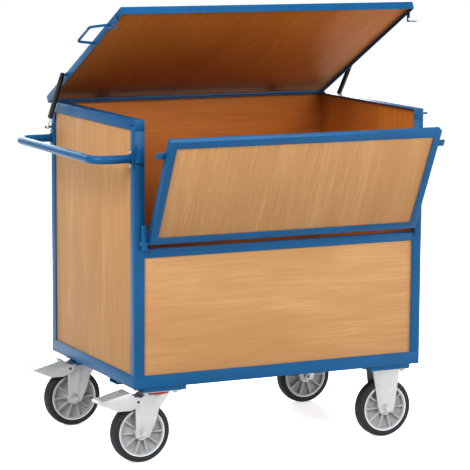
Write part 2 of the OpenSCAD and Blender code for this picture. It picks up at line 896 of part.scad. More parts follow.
module strut_eye() {
    translate([-eye_wid / 2, 0, 0]) difference() {
        bar_x(eye_r, eye_wid);
        translate([-through, 0, 0]) bar_x(stud_r + fit, eye_wid + 2 * through);
    }
}

module strut_tube() {
    tube_end = strut_len - rod_show;
    start = eye_r + 4;
    color(strut_black) along_strut() {
        difference() {
            union() {
                strut_eye();
                translate([0, 0, -start]) cylinder(r = neck_r, h = start - 5);
                translate([0, 0, -tube_end]) cylinder(r = tube_r, h = tube_end - start);
            }
            translate([-eye_wid, 0, 0]) bar_x(stud_r + fit, 2 * eye_wid);
            translate([0, 0, -tube_end + gland_t]) cylinder(r = bore_r, h = tube_end - start - 8 - gland_t);
            translate([0, 0, -tube_end - through]) cylinder(r = gland_r, h = gland_t + 2 * through);
        }
    }
}

module strut_rod() {
    inside = gland_t + 6;
    piston_t = 6;
    color(zinc) along_strut() translate([0, 0, -strut_len]) difference() {
        union() {
            strut_eye();
            translate([0, 0, 5]) cylinder(r = neck_r, h = 9);
            translate([0, 0, 12]) cylinder(r = rod_r, h = rod_show + inside - 12);
            translate([0, 0, rod_show + inside]) cylinder(r = piston_r, h = piston_t);
        }
        translate([-eye_wid, 0, 0]) bar_x(stud_r + fit, 2 * eye_wid);
    }
}

module left_strut_tube() {
    strut_tube();
}

module left_strut_rod() {
    strut_rod();
}

module right_strut_tube() {
    translate([cart_len, 0, 0]) mirror([1, 0, 0]) strut_tube();
}

module right_strut_rod() {
    translate([cart_len, 0, 0]) mirror([1, 0, 0]) strut_rod();
}

// ---- flap, drawn upright and then leaned out ----

module flap_frame() {
    color(steel_blue) as_leaned() translate([flap_x0, flap_back - flap_deep, flap_z0]) difference() {
        cube([flap_len, flap_deep, flap_high]);
        translate([sheet_t, sheet_t, sheet_t])
            cube([flap_len - 2 * sheet_t, flap_deep, flap_high - 2 * sheet_t]);
        translate([flap_lip, -through, flap_lip])
            cube([flap_len - 2 * flap_lip, flap_deep, flap_high - 2 * flap_lip]);
    }
}

module flap_board() {
    color(board_beech) as_leaned()
        translate([flap_x0 + sheet_t, flap_back - flap_deep + sheet_t, flap_z0 + sheet_t])
            cube([flap_len - 2 * sheet_t, wall_t, flap_high - 2 * sheet_t]);
}

// Flat lugs near the top corners for the catches, and eyes for the pivot pins under the lower rail.
module flap_lugs() {
    eye = 8;
    eye_t = 5;
    color(steel_blue) as_leaned() both_ends() {
        translate([flap_x0 - lug_out, pin_y - lug_t / 2, lug_z]) cube([lug_out, lug_t, lug_high]);
        translate([flap_x0, 0, 0]) push_x(eye_t) difference() {
            union() {
                intersection() {
                    translate([pin_y, pin_z]) circle(eye);
                    translate([pin_y - eye, pin_z - eye]) square([2 * eye, eye + flap_foot]);
                }
                translate([pin_y - eye, pin_z]) square([2 * eye, flap_foot]);
            }
            translate([pin_y, pin_z]) circle(pin_r + fit);
        }
    }
}

module flap_pins() {
    eye_t = 5;
    color(zinc) both_ends() translate([guide_x + 1, pin_y, pin_z]) {
        bar_x(pin_r, flap_x0 + eye_t - guide_x - 0.5);
        translate([flap_x0 + eye_t - guide_x - 0.5, 0, 0]) bar_x(pin_head_r, 3);
    }
}

place() deck_long_rails();
place() deck_end_rails();
place() deck_support_bars();
place() floor_board();
place() castor_pads();
place() front_posts();
place() rear_posts();
place() side_top_rails();
place() rear_top_rail();
place() mid_rail();
place() left_panel();
place() right_panel();
place() rear_panel();
place() lower_front_panel();
place() flap_guides();
place() flap_catches();
place() latch_pins();
place() push_handle();
place() handle_flanges();
place() handle_bolts();
place() strut_lower_studs();
place() hinge_brackets();
place() hinge_pins();
place() castor_bolts();
place() castor_nuts();
place() swivel_top_plates();
place() swivel_rings();
place() kingpins();
place() fixed_forks();
place() fixed_axles();
place() lid_frame();
place() lid_board();
place() lid_handle();
place() lid_hinge_arms();
place() lid_studs();
place() left_hook();
place() right_hook();
place() left_strut_tube();
place() left_strut_rod();
place() right_strut_tube();
place() right_strut_rod();
place() flap_frame();
place() flap_board();
place() flap_lugs();
place() flap_pins();
place() front_swivel_fork();
place() rear_swivel_fork();
place() front_swivel_axle();
place() rear_swivel_axle();
place() front_brake_pedal();
place() rear_brake_pedal();
place() front_left_rim();
place() rear_left_rim();
place() front_right_rim();
place() rear_right_rim();
place() front_left_tyre();
place() rear_left_tyre();
place() front_right_tyre();
place() rear_right_tyre();
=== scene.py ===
"""Box cart with beech walls: looks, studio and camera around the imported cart."""

import json
import math
import random

import bmesh
import bpy
from mathutils import Matrix, Vector


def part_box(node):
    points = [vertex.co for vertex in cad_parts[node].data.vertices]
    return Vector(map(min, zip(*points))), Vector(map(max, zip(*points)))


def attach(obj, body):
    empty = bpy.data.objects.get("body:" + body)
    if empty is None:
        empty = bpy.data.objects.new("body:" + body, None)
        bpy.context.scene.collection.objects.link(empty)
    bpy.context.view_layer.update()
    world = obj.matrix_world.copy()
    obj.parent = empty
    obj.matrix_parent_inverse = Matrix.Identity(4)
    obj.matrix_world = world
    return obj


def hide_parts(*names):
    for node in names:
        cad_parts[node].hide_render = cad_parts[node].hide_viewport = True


bl_info = {
    "name": "Box cart",
    "version": (1, 0, 0),
    "blender": (4, 5, 0),
    "location": "View3D > Sidebar > Box cart",
    "description": "Dresses a steel-framed wooden box cart and sets up its studio",
    "category": "Object",
}

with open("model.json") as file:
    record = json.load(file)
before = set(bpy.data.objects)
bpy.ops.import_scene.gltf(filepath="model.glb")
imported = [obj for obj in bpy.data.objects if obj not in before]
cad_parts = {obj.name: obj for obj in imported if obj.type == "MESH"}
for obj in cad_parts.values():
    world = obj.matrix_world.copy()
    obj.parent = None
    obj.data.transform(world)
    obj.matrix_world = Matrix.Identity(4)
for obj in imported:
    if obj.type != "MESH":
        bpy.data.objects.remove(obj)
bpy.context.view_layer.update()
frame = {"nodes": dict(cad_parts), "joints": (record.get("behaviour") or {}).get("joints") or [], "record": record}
NODES = frame["nodes"]
BODIES = frame["record"]["behaviour"]["bodies"]
BODY_OF = {node: body for body, nodes in BODIES.items() for node in nodes}
JOINTS = {joint["name"]: joint for joint in frame["joints"]}

MM = 0.001
FULL_TURN = 2 * math.pi
# Faces that meet at less than this angle are shaded as one surface.
SMOOTH_ANGLE = math.radians(32)
# Points nearer than the gap are merged, and faces within the flat angle become one.
MERGE_GAP = 0.002 * MM
FLAT_ANGLE = math.radians(0.6)
EDGE_SEGMENTS = 2
BEAD_SIDES = 8
# Edge radii of the small parts, which the panel doesn't offer.
BOLT_EDGE = 0.3 * MM
AXLE_EDGE = 0.4 * MM
ROD_EDGE = 0.5 * MM
SEAL_EDGE = 0.6 * MM
# The studio floor's half width, the camera's sensor and how far it sees.
FLOOR_REACH = 60.0
SENSOR_WIDTH = 36.0
VIEW_REACH = 200.0
# Tones that belong to a finish and not to the cart's look.
LATE_WOOD = (0.18, 0.08, 0.03)
RAY_FLECK = (0.10, 0.05, 0.02)
ROD_STEEL = (0.8, 0.8, 0.8)
TYRE_DUST = (0.16, 0.16, 0.16)
RIM_LIP_GAIN = 1.9
# How far the lid stands open and the flap leans out as the cart is drawn.
LID_TILT = math.radians(-JOINTS["lid_hinge"]["range_deg"][0])
FLAP_TILT = math.radians(-JOINTS["flap_tilt"]["range_deg"][0])


# ---- shader building ----


class Socket:
    """A shader value that takes part in Python arithmetic and adds Math nodes as it goes."""

    def __init__(self, finish, out):
        self.finish = finish
        self.out = out

    def _math(self, operation, first, second):
        made = self.finish.node("ShaderNodeMath", {"operation": operation}, {0: first, 1: second})
        return Socket(self.finish, made.outputs[0])

    def __add__(self, other):
        return self._math("ADD", self, other)

    __radd__ = __add__

    def __sub__(self, other):
        return self._math("SUBTRACT", self, other)

    def __mul__(self, other):
        return self._math("MULTIPLY", self, other)

    def over(self, other):
        """1 where this is greater than the other value."""
        return self._math("GREATER_THAN", self, other)


class Finish:
    """One material and the nodes that make it."""

    def __init__(self, name):
        self.material = bpy.data.materials.new(name)
        self.material.use_nodes = True
        self.tree = self.material.node_tree
        self.tree.nodes.clear()
        self.shader = self.tree.nodes.new("ShaderNodeBsdfPrincipled")
        output = self.tree.nodes.new("ShaderNodeOutputMaterial")
        self.tree.links.new(self.shader.outputs[0], output.inputs["Surface"])
        self.place = Socket(self, self.node("ShaderNodeTexCoord").outputs["Object"])

    def node(self, kind, settings=None, values=None):
        """Adds a node: its settings first, then the values or links of its sockets."""
        made = self.tree.nodes.new(kind)
        for key, value in (settings or {}).items():
            if key == "stops":
                ramp = made.color_ramp
                while len(ramp.elements) < len(value):
                    ramp.elements.new(0.5)
                for stop, (at, colour) in zip(ramp.elements, value):
                    stop.position = at
                    stop.color = (*colour, 1)
            else:
                setattr(made, key, value)
        for key, value in (values or {}).items():
            if isinstance(value, Socket):
                self.tree.links.new(value.out, made.inputs[key])
            else:
                made.inputs[key].default_value = value
        return made

    def noise(self, place, scale, detail=3.0, rough=0.5, distortion=0.0):
        made = self.node("ShaderNodeTexNoise", None, {
            "Vector": place, "Scale": scale, "Detail": detail, "Roughness": rough,
            "Distortion": distortion,
        })
        return Socket(self, made.outputs["Fac"])

    def stretched(self, scale, turn=(0.0, 0.0, 0.0)):
        """Object coordinates, turned and then scaled along each axis."""
        turned = self.node("ShaderNodeMapping", {"vector_type": "TEXTURE"}, {
            "Vector": self.place, "Rotation": turn,
        })
        made = self.node("ShaderNodeMapping", None, {
            "Vector": Socket(self, turned.outputs[0]), "Scale": scale,
        })
        return Socket(self, made.outputs[0])

    def spread(self, value, low, high):
        """Maps low..high of a value onto 0..1, clamped."""
        made = self.node("ShaderNodeMapRange", {"clamp": True}, {
            "Value": value, "From Min": low, "From Max": high,
        })
        return Socket(self, made.outputs[0])

    def blend(self, factor, first, second):
        """A colour between two others: sockets 6 and 7 are the node's colours, 2 is the result."""
        made = self.node("ShaderNodeMix", {"data_type": "RGBA"}, {0: factor, 6: first, 7: second})
        return Socket(self, made.outputs[2])

    def edges(self, width):
        """About 0 on flat faces, rising towards 1 on an edge."""
        bevel = self.node("ShaderNodeBevel", {"samples": 4}, {"Radius": width})
        flat = self.node("ShaderNodeNewGeometry")
        dot = self.node("ShaderNodeVectorMath", {"operation": "DOT_PRODUCT"}, {
            0: Socket(self, bevel.outputs[0]), 1: Socket(self, flat.outputs["Normal"]),
        })
        return self.spread(Socket(self, dot.outputs["Value"]), 0.995, 0.80)

    def bump(self, height, strength, distance):
        """A normal that follows a height without moving the surface."""
        made = self.node("ShaderNodeBump", None, {
            "Height": height, "Strength": strength, "Distance": distance,
        })
        return Socket(self, made.outputs[0])

    def set(self, **sockets):
        """Sets the shader's inputs: a Socket is linked, and a constant is written down."""
        names = {
            "colour": "Base Color", "roughness": "Roughness", "metallic": "Metallic",
            "normal": "Normal", "coat": "Coat Weight", "coat_roughness": "Coat Roughness",
            "specular": "Specular IOR Level", "glow_colour": "Emission Color",
            "glow": "Emission Strength",
        }
        for key, value in sockets.items():
            target = self.shader.inputs[names[key]]
            if isinstance(value, Socket):
                self.tree.links.new(value.out, target)
            else:
                target.default_value = value
        return self


def rgba(colour, factor=1.0):
    """A colour with alpha, made lighter or darker by a factor."""
    return (*[min(1.0, c * factor) for c in colour[:3]], 1.0)


def powder_coat(name, colour):
    """Blue powder coat: fine orange peel, faint mottling, and sharp edges drawn paler: partly thinner paint,
    partly a painted highlight.
    """
    finish = Finish(name)
    mottle = finish.noise(finish.place, 9.0, 4.0, 0.6)
    peel = finish.noise(finish.place, 900.0, 2.0, 0.5)
    speck = finish.noise(finish.place, 2400.0, 1.0, 0.5)
    # Paler, rougher edges broken by noise: partly thinner paint, partly a painted highlight along the edges.
    edge_wear_and_highlight = finish.edges(1.6 * MM) * finish.spread(finish.noise(finish.place, 60.0, 3.0), 0.35, 0.7)
    tone = finish.blend(finish.spread(mottle, 0.35, 0.65), rgba(colour, 0.92), rgba(colour, 1.06))
    tone = finish.blend(edge_wear_and_highlight * 0.35, tone, rgba(colour, 1.9))
    height = peel * 0.7 + speck * 0.3
    return finish.set(
        colour=tone,
        roughness=0.36 + mottle * 0.10 + edge_wear_and_highlight * 0.08,
        normal=finish.bump(height, 0.10, 0.25 * MM),
        coat=0.08,
        coat_roughness=0.22,
        specular=0.24,
    ).material


def beech(name, tones, turn, inward, level):
    """Steamed beech veneer, with painted shade on the side that faces the box: darker, warmer tones there.

    The grain runs along local Z once the coordinates are turned. A point is on the inner side
    where its distance along the inward direction is over the level.
    """
    finish = Finish(name)
    along = finish.node("ShaderNodeVectorMath", {"operation": "DOT_PRODUCT"}, {
        0: finish.place, 1: inward,
    })
    # The inner side is painted darker and more orange: painted shade and warm bounce light of the box's inside.
    inside = Socket(finish, along.outputs["Value"]).over(level)
    light = finish.blend(inside, rgba(tones[0]), rgba(tones[2]))
    dark = finish.blend(inside, rgba(tones[1]), rgba(tones[3]))
    slow = finish.stretched((3.2, 3.2, 0.55), turn)
    bands = finish.noise(slow, 3.0, 5.0, 0.55, 0.6)
    lines_at = finish.stretched((60.0, 60.0, 1.6), turn)
    lines = finish.noise(lines_at, 3.0, 5.0, 0.62, 0.35)
    fleck_at = finish.stretched((900.0, 900.0, 75.0), turn)
    flecks = finish.spread(finish.noise(fleck_at, 1.0, 2.0, 0.5), 0.60, 0.70)
    pore_at = finish.stretched((2600.0, 2600.0, 120.0), turn)
    pores = finish.noise(pore_at, 1.0, 2.0, 0.5)
    tone = finish.blend(finish.spread(bands, 0.32, 0.68), light, dark)
    wave = finish.noise(finish.stretched((15.0, 15.0, 0.9), turn), 2.2, 3.0, 0.5, 0.9)
    tone = finish.blend(finish.spread(wave, 0.50, 0.60) * 0.40, tone, dark)
    late_wood = finish.blend(0.16, dark, rgba(LATE_WOOD))
    tone = finish.blend(finish.spread(lines, 0.38, 0.62) * 0.60, tone, late_wood)
    tone = finish.blend(flecks * 0.45, tone, finish.blend(0.35, dark, rgba(RAY_FLECK)))
    height = lines * 0.5 + pores * 0.3 - flecks * 0.4
    return finish.set(
        colour=tone,
        roughness=0.50 + lines * 0.10 - flecks * 0.04,
        normal=finish.bump(height, 0.12, 0.12 * MM),
        specular=0.2,
    ).material


def zinc_plate(name, colour, roughness=0.34):
    """Bright zinc on pressed steel: cloudy passivation, drawing marks, a few dull scuffs."""
    finish = Finish(name)
    cloud = finish.noise(finish.place, 38.0, 4.0, 0.6)
    drawn = finish.noise(finish.stretched((1400.0, 1400.0, 60.0)), 1.0, 3.0, 0.6)
    scuff = finish.spread(finish.noise(finish.place, 170.0, 4.0, 0.7), 0.62, 0.72)
    edge_wear_and_highlight = finish.edges(0.9 * MM)
    tone = finish.blend(finish.spread(cloud, 0.3, 0.7), rgba(colour, 0.95), rgba(colour, 1.04))
    tone = finish.blend(scuff * 0.22, tone, rgba(colour, 0.80))
    # Lighter edges: partly wear, partly a painted highlight along the edges.
    tone = finish.blend(edge_wear_and_highlight * 0.6, tone, rgba(colour, 1.7))
    return finish.set(
        colour=tone,
        metallic=0.55,
        roughness=roughness + cloud * 0.14 + scuff * 0.15,
        normal=finish.bump(drawn * 0.6 + cloud * 0.4, 0.08, 0.2 * MM),
    ).material


def moulded(name, colour, roughness, grain=700.0, dust=0.0, dust_colour=(0.5, 0.48, 0.45)):
    """Moulded plastic or rubber with a fine skin, and dust where it is thick enough to see."""
    finish = Finish(name)
    cloud = finish.noise(finish.place, 26.0, 4.0, 0.6)
    skin = finish.noise(finish.place, grain, 3.0, 0.6)
    lying = finish.spread(finish.noise(finish.place, 55.0, 5.0, 0.7), 0.48, 0.75) * dust
    tone = finish.blend(finish.spread(cloud, 0.3, 0.7), rgba(colour, 0.90), rgba(colour, 1.10))
    tone = finish.blend(lying, tone, rgba(dust_colour))
    return finish.set(
        colour=tone,
        roughness=roughness + skin * 0.10 + lying * 0.2,
        normal=finish.bump(skin, 0.10, 0.2 * MM),
        specular=0.35,
    ).material


def gloss_black(name, colour):
    """Black lacquer on the gas struts' tubes."""
    finish = Finish(name)
    cloud = finish.noise(finish.place, 45.0, 3.0, 0.5)
    swirl = finish.noise(finish.stretched((300.0, 300.0, 30.0)), 3.0, 3.0, 0.6)
    tone = finish.blend(finish.spread(cloud, 0.3, 0.7), rgba(colour, 0.8), rgba(colour, 1.3))
    return finish.set(
        colour=tone,
        roughness=0.26 + swirl * 0.12,
        normal=finish.bump(swirl, 0.04, 0.1 * MM),
        coat=0.12,
        coat_roughness=0.12,
        specular=0.3,
    ).material


def studio_floor(name, colour, glow):
    """White floor that glows a little, so that it stays white away from the lights."""
    finish = Finish(name)
    cloud = finish.noise(finish.place, 0.8, 4.0, 0.5)
    tone = finish.blend(finish.spread(cloud, 0.3, 0.7), rgba(colour, 0.985), rgba(colour, 1.0))
    return finish.set(
        colour=tone,
        roughness=0.62 + cloud * 0.05,
        specular=0.2,
        glow_colour=(1, 1, 1, 1),
        glow=glow,
    ).material


MADE = {}


def finish_for(name):
    """The named finish, made once from the cart's colours."""
    look = bpy.context.scene.cart_look
    rim_lip = [min(1.0, c * RIM_LIP_GAIN) for c in look.rim]
    makers = {
        "coat": lambda: powder_coat("blue_powder_coat", look.coat),
        "zinc": lambda: zinc_plate("zinc_plate", look.zinc),
        "chrome": lambda: zinc_plate("strut_rod_steel", ROD_STEEL, 0.12),
        "rim": lambda: moulded("rim_polyamide", look.rim, 0.42, 900.0, 0.10),
        "rim_lip": lambda: moulded("rim_lip_polyamide", rim_lip, 0.38, 900.0),
        "tyre": lambda: moulded("tyre_rubber", look.tyre, 0.58, 1100.0, 0.10, TYRE_DUST),
        "strut": lambda: gloss_black("strut_lacquer", look.strut),
        "seal": lambda: moulded("red_seal", look.seal, 0.45),
    }
    if name not in MADE:
        MADE[name] = makers[name]()
    return MADE[name]


def board_finish(node, turn, inward, one_tone=False):
    """Makes a board's own beech, split at the board's middle plane, and returns its name. The inner half gets the
    painted shade tones.
    """
    look = bpy.context.scene.cart_look
    low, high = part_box(node)
    outside = (look.beech, look.beech_dark)
    # Inner faces take the shaded tones, which paint the shade inside the box.
    tones = outside + (outside if one_tone else (look.beech_shaded_inside, look.beech_shaded_inside_dark))
    name = "beech_" + node
    MADE[name] = beech(name, tones, turn, inward, Vector(inward).dot((low + high) / 2))
    return name


# ---- mesh building ----


def new_piece(name, bm, finish, body, replaced=()):
    """Turns a bmesh into a piece that rides on a body."""
    mesh = bpy.data.meshes.new(name)
    bm.to_mesh(mesh)
    bm.free()
    mesh.polygons.foreach_set("use_smooth", [True] * len(mesh.polygons))
    mesh.set_sharp_from_angle(angle=SMOOTH_ANGLE)
    mesh.materials.append(finish_for(finish))
    piece = bpy.data.objects.new(name, mesh)
    bpy.context.scene.collection.objects.link(piece)
    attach(piece, body)
    if replaced:
        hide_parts(*replaced)


def eased(node, finish, width):
    """A node's own shape with its edges eased by a real radius."""
    bm = bmesh.new()
    bm.from_mesh(NODES[node].data)
    bmesh.ops.remove_doubles(bm, verts=bm.verts, dist=MERGE_GAP)
    bmesh.ops.dissolve_limit(bm, angle_limit=FLAT_ANGLE, verts=bm.verts, edges=bm.edges)
    mesh = bpy.data.meshes.new(node + "_sharp")
    bm.to_mesh(mesh)
    bm.free()
    helper = bpy.data.objects.new(node + "_sharp", mesh)
    bpy.context.scene.collection.objects.link(helper)
    bevel = helper.modifiers.new("edge_radius", "BEVEL")
    bevel.width = width
    bevel.segments = EDGE_SEGMENTS
    bevel.limit_method = "ANGLE"
    bevel.angle_limit = SMOOTH_ANGLE
    bevel.use_clamp_overlap = True
    bpy.context.view_layer.update()
    shape = helper.evaluated_get(bpy.context.evaluated_depsgraph_get())
    bm = bmesh.new()
    bm.from_mesh(shape.data)
    bpy.data.objects.remove(helper)
    bpy.data.meshes.remove(mesh)
    new_piece(node + "_eased", bm, finish, BODY_OF[node], (node,))


def lathe(bm, profile, centre, axis, segments=96):
    """Turns a closed profile of (radius, along) pairs round an axis."""
    axis = Vector(axis).normalized()
    side = axis.orthogonal().normalized()
    other = axis.cross(side)
    rings = []
    for radius, along in profile:
        ring = []
        for step in range(segments):
            angle = FULL_TURN * step / segments
            arm = side * math.cos(angle) + other * math.sin(angle)
            ring.append(bm.verts.new(Vector(centre) + axis * along + arm * radius))
        rings.append(ring)
    for first, second in zip(rings, rings[1:] + rings[:1]):
        for step in range(segments):
            after = (step + 1) % segments
            bm.faces.new((first[step], first[after], second[after], second[step]))


def weld_bead(bm, path, radius, seed, closed=False):
    """A weld: a half-sunk bead of overlapping ripples along a path of points."""
    pick = random.Random(seed)
    points = [Vector(point) for point in path]
    if closed:
        points.append(points[0])
    lengths = [(b - a).length for a, b in zip(points, points[1:])]
    steps = max(8, int(sum(lengths) / (radius * 0.75)))
    rings = []
    for step in range(steps + (0 if closed else 1)):
        left = sum(lengths) * step / steps
        leg = 0
        while leg < len(lengths) - 1 and left > lengths[leg]:
            left -= lengths[leg]
            leg += 1
        way = (points[leg + 1] - points[leg]).normalized()
        centre = points[leg] + way * left
        side = way.orthogonal().normalized()
        other = way.cross(side)
        swell = 0.84 + 0.16 * (step % 2) + pick.uniform(-0.05, 0.05)
        if not closed and step in (0, steps):
            swell = 0.35
        ring = []
        for corner in range(BEAD_SIDES):
            angle = FULL_TURN * corner / BEAD_SIDES
            arm = side * math.cos(angle) + other * math.sin(angle)
            ring.append(bm.verts.new(centre + arm * radius * swell))
        rings.append(ring)
    pairs = list(zip(rings, rings[1:] + rings[:1])) if closed else list(zip(rings, rings[1:]))
    for first, second in pairs:
        shift = min(range(BEAD_SIDES), key=lambda k: (first[0].co - second[k].co).length)
        for corner in range(BEAD_SIDES):
            bm.faces.new((
                first[corner], first[(corner + 1) % BEAD_SIDES],
                second[(corner + 1 + shift) % BEAD_SIDES], second[(corner + shift) % BEAD_SIDES],
            ))
    if not closed:
        bm.faces.new(list(reversed(rings[0])))
        bm.faces.new(rings[-1])


def ring_path(centre, axis, radius, count=20):
    """Points on a circle round an axis."""
    axis = Vector(axis).normalized()
    side = axis.orthogonal().normalized()
    other = axis.cross(side)
    turns = [FULL_TURN * k / count for k in range(count)]
    return [Vector(centre) + (side * math.cos(a) + other * math.sin(a)) * radius for a in turns]


def islands(node):
    """Lowest and highest corner of each separate solid of a node."""
    bm = bmesh.new()
    bm.from_mesh(NODES[node].data)
    bmesh.ops.remove_doubles(bm, verts=bm.verts, dist=MERGE_GAP)
    seen = set()
    boxes = []
    for start in bm.verts:
        if start in seen:
            continue
        seen.add(start)
        grown = [start]
        for vert in grown:
            for edge in vert.link_edges:
                nearby = edge.other_vert(vert)
                if nearby not in seen:
                    seen.add(nearby)
                    grown.append(nearby)
        low = Vector([min(v.co[k] for v in grown) for k in range(3)])
        high = Vector([max(v.co[k] for v in grown) for k in range(3)])
        boxes.append((low, high))
    bm.free()
    return boxes


def closed_up(bm):
    """Turns every face outward."""
    bmesh.ops.recalc_face_normals(bm, faces=bm.faces)
    return bm


# ---- sizes and colours ----


def size_property(name, description, default, low, high):
    """A length of the added detail."""
    return bpy.props.FloatProperty(
        name=name, description=description, default=default, min=low, max=high,
        subtype="DISTANCE", unit="LENGTH", precision=4,
    )


def colour_property(name, description, default):
    """A colour of the cart or its studio."""
    return bpy.props.FloatVectorProperty(
        name=name, description=description, default=default, size=3, min=0.0, max=1.0,
        subtype="COLOR",
    )


def power_property(name, description, default):
    """The power of a light."""
    return bpy.props.FloatProperty(
        name=name, description=description, default=default, min=0.0,
        subtype="POWER", unit="POWER",
    )


def angle_property(name, description, default):
    """A turn of the camera, given in degrees."""
    return bpy.props.FloatProperty(
        name=name, description=description, default=math.radians(default),
        subtype="ANGLE", unit="ROTATION",
    )


class CartSizes(bpy.types.PropertyGroup):
    """Sizes of the detail that is added to the cart."""

    steel_edge: size_property(
        "Steel edge radius", "Radius on the edges of the steel angles", 1.1 * MM, 0.0, 3 * MM,
    )
    sheet_edge: size_property(
        "Sheet edge radius", "Radius on the edges of thin sheet and small brackets",
        0.6 * MM, 0.0, 1.4 * MM,
    )
    board_edge: size_property(
        "Board edge radius", "Radius on the edges of the boards", 0.8 * MM, 0.0, 3 * MM,
    )
    weld: size_property(
        "Weld radius", "Radius of the weld beads", 2.0 * MM, 0.5 * MM, 4 * MM,
    )
    plastic_edge: size_property(
        "Moulded edge radius", "Radius on the edges of the wheel centres", 1.0 * MM, 0.0, 2 * MM,
    )


class CartLook(bpy.types.PropertyGroup):
    """Colours of the cart."""

    coat: colour_property(
        "Powder coat", "Colour of the painted steel", (0.003, 0.098, 0.240),
    )
    beech: colour_property("Beech, light", "Light tone of the boards", (0.60, 0.36, 0.175))
    beech_dark: colour_property(
        "Beech, dark", "Dark tone of the boards' grain", (0.50, 0.275, 0.120),
    )
    # The two inner tones are painted shade: the inside of the box and the lid's underside are drawn darker and
    # warmer than the outside.
    beech_shaded_inside: colour_property(
        "Beech inside, light", "Light tone of the inner faces", (0.56, 0.205, 0.038),
    )
    beech_shaded_inside_dark: colour_property(
        "Beech inside, dark", "Dark tone of the inner faces", (0.44, 0.145, 0.022),
    )
    zinc: colour_property("Zinc", "Colour of the plated steel", (0.46, 0.47, 0.475))
    rim: colour_property("Wheel centres", "Colour of the wheel centres", (0.42, 0.43, 0.44))
    tyre: colour_property("Tyres", "Colour of the tyres", (0.020, 0.022, 0.024))
    strut: colour_property("Strut tubes", "Colour of the gas struts", (0.006, 0.006, 0.007))
    seal: colour_property("Seal rings", "Colour of the swivel seals", (0.50, 0.035, 0.03))


class CartStage(bpy.types.PropertyGroup):
    """Studio settings."""

    floor: colour_property("Floor", "Colour of the studio floor", (0.94, 0.94, 0.94))
    glow: bpy.props.FloatProperty(
        name="Floor glow", description="Light that the floor gives of itself",
        default=0.54, min=0.0,
    )
    sky: bpy.props.FloatProperty(
        name="Surroundings", description="Strength of the even light from all round",
        default=0.50, min=0.0,
    )
    backdrop: bpy.props.FloatProperty(
        name="Backdrop", description="Brightness of the surroundings as the camera sees them",
        default=1.05, min=0.0,
    )
    key: power_property("Key light", "Power of the large light at the left", 265.0)
    front: power_property("Front light", "Power of the light beside the camera", 150.0)
    top: power_property("Top light", "Power of the overhead light", 120.0)
    back: power_property("Back light", "Power of the light behind the cart", 170.0)
    right: power_property("Right light", "Power of the low light at the right", 45.0)
    gamma: bpy.props.FloatProperty(
        name="Print gamma", description="Below 1 deepens the shadows, as a printed catalogue does",
        default=0.85, min=0.2, max=2.0,
    )
    lens: bpy.props.FloatProperty(
        name="Focal length", description="Camera focal length", default=181.27, min=1.0,
        subtype="DISTANCE_CAMERA", unit="CAMERA",
    )
    yaw: angle_property("Camera yaw", "Turn of the camera to the right of straight back", 25.908)
    pitch: angle_property("Camera pitch", "Tilt of the camera below the horizon", 8.458)
    roll: angle_property("Camera roll", "Roll of the camera", 0.384)
    stand: bpy.props.FloatVectorProperty(
        name="Camera place", description="Where the camera stands", size=3,
        default=(-3.4262, -7.08597, 1.8601), subtype="TRANSLATION", unit="LENGTH",
    )


# ---- operators ----


class CartOperator(bpy.types.Operator):
    """Shared settings of the cart's operators."""

    bl_options = {"REGISTER", "UNDO"}


class CART_OT_deck(CartOperator):
    """Deck rails, support bars and castor pads"""

    bl_idname = "cart.deck"
    bl_label = "Deck"

    def execute(self, context):
        size = context.scene.cart_sizes
        for node in ("deck_long_rails", "deck_end_rails"):
            eased(node, "coat", size.steel_edge)
        for node in ("deck_support_bars", "castor_pads"):
            eased(node, "coat", size.sheet_edge)
        return {"FINISHED"}


class CART_OT_box_frame(CartOperator):
    """Posts, rails and the small brackets on them"""

    bl_idname = "cart.box_frame"
    bl_label = "Box frame"

    def execute(self, context):
        size = context.scene.cart_sizes
        for node in ("front_posts", "rear_posts", "side_top_rails", "rear_top_rail", "mid_rail"):
            eased(node, "coat", size.steel_edge)
        small = ("flap_guides", "flap_catches", "latch_pins", "strut_lower_studs", "hinge_brackets")
        for node in small:
            eased(node, "coat", size.sheet_edge)
        eased("hinge_pins", "zinc", BOLT_EDGE)
        return {"FINISHED"}


class CART_OT_boards(CartOperator):
    """Floor and wall boards"""

    bl_idname = "cart.boards"
    bl_label = "Boards"

    def execute(self, context):
        size = context.scene.cart_sizes
        along = (0, math.pi / 2, 0)
        boards = {
            "left_panel": ((0, 0, 0), (1, 0, 0)), "right_panel": ((0, 0, 0), (-1, 0, 0)),
            "rear_panel": (along, (0, -1, 0)), "lower_front_panel": (along, (0, 1, 0)),
            "floor_board": (along, (0, 0, 1)),
        }
        for node, (turn, inward) in boards.items():
            eased(node, board_finish(node, turn, inward), size.board_edge)
        return {"FINISHED"}


class CART_OT_push_handle(CartOperator):
    """Push handle with its flanges and bolts"""

    bl_idname = "cart.push_handle"
    bl_label = "Push handle"

    def execute(self, context):
        size = context.scene.cart_sizes
        eased("push_handle", "coat", BOLT_EDGE)
        eased("handle_flanges", "coat", size.sheet_edge)
        eased("handle_bolts", "zinc", BOLT_EDGE)
        return {"FINISHED"}


class CART_OT_lid(CartOperator):
    """Lid with its rim, handle, hinge arms and hooks"""

    bl_idname = "cart.lid"
    bl_label = "Lid"

    def execute(self, context):
        size = context.scene.cart_sizes
        eased("lid_frame", "coat", size.steel_edge)
        # The underside takes the board's shaded inner tones: painted shade under the raised lid.
        down = (0, -math.sin(LID_TILT), -math.cos(LID_TILT))
        turn = (math.pi / 2 - LID_TILT, 0, 0)
        eased("lid_board", board_finish("lid_board", turn, down), size.board_edge)
        for node in ("lid_handle", "lid_hinge_arms", "lid_studs", "left_hook", "right_hook"):
            eased(node, "coat", ROD_EDGE)
        return {"FINISHED"}


